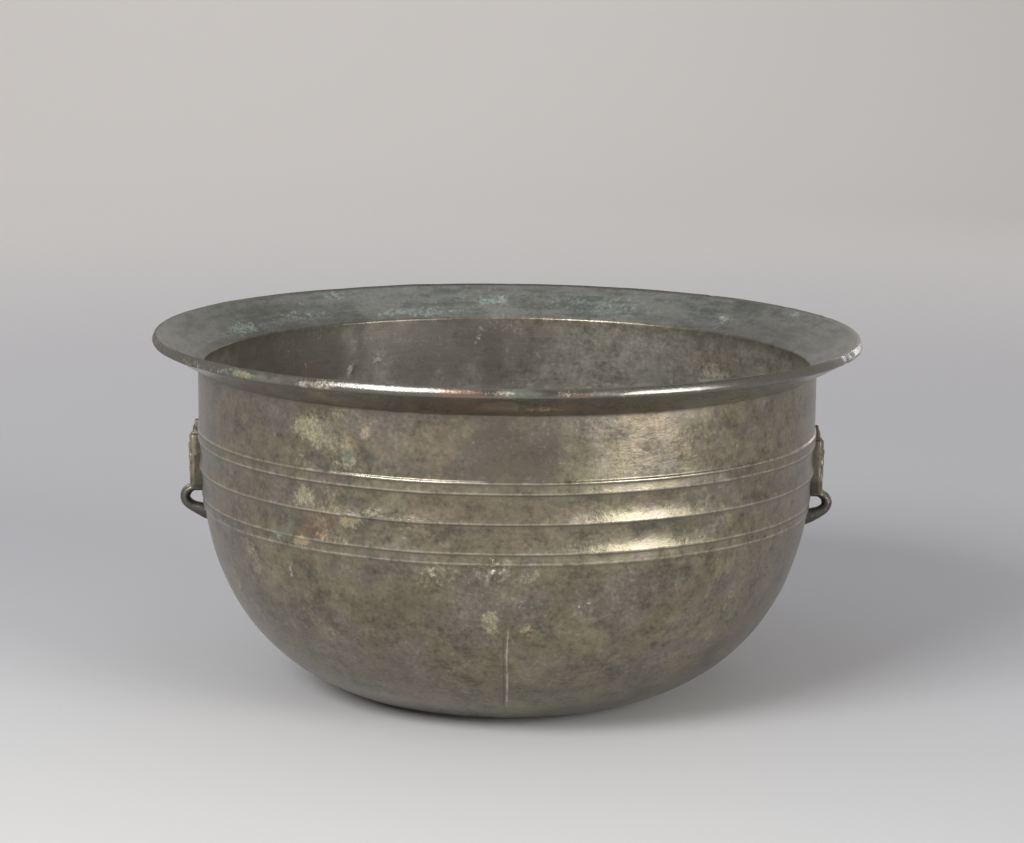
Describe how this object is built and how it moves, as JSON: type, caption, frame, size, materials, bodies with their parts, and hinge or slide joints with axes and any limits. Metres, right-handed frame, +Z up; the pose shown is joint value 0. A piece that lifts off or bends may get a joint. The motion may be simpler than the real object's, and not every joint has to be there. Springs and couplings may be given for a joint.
{
  "type": "bronze basin",
  "caption": "Ancient cast bronze basin: rounded bowl with a wide everted lip, raised lines round the belly and beast-mask loop handles.",
  "frame": {"origin": "middle of the flat underside that the basin stands on", "axes": "+Z up along the basin's own axis, +X towards one handle, -Y towards the side seen in front"},
  "size_m": [0.33, 0.33, 0.168],
  "materials": {
    "vessel_bronze": "aged bronze with a smooth brown-grey patina, worn bright on its raised edges",
    "mask_bronze": "aged bronze with a dull olive patina and green corrosion in its hollows"
  },
  "bodies": {
    "root": {"basin": "vessel_bronze", "handle_left": "mask_bronze", "handle_right": "mask_bronze"}
  },
  "joints": []
}
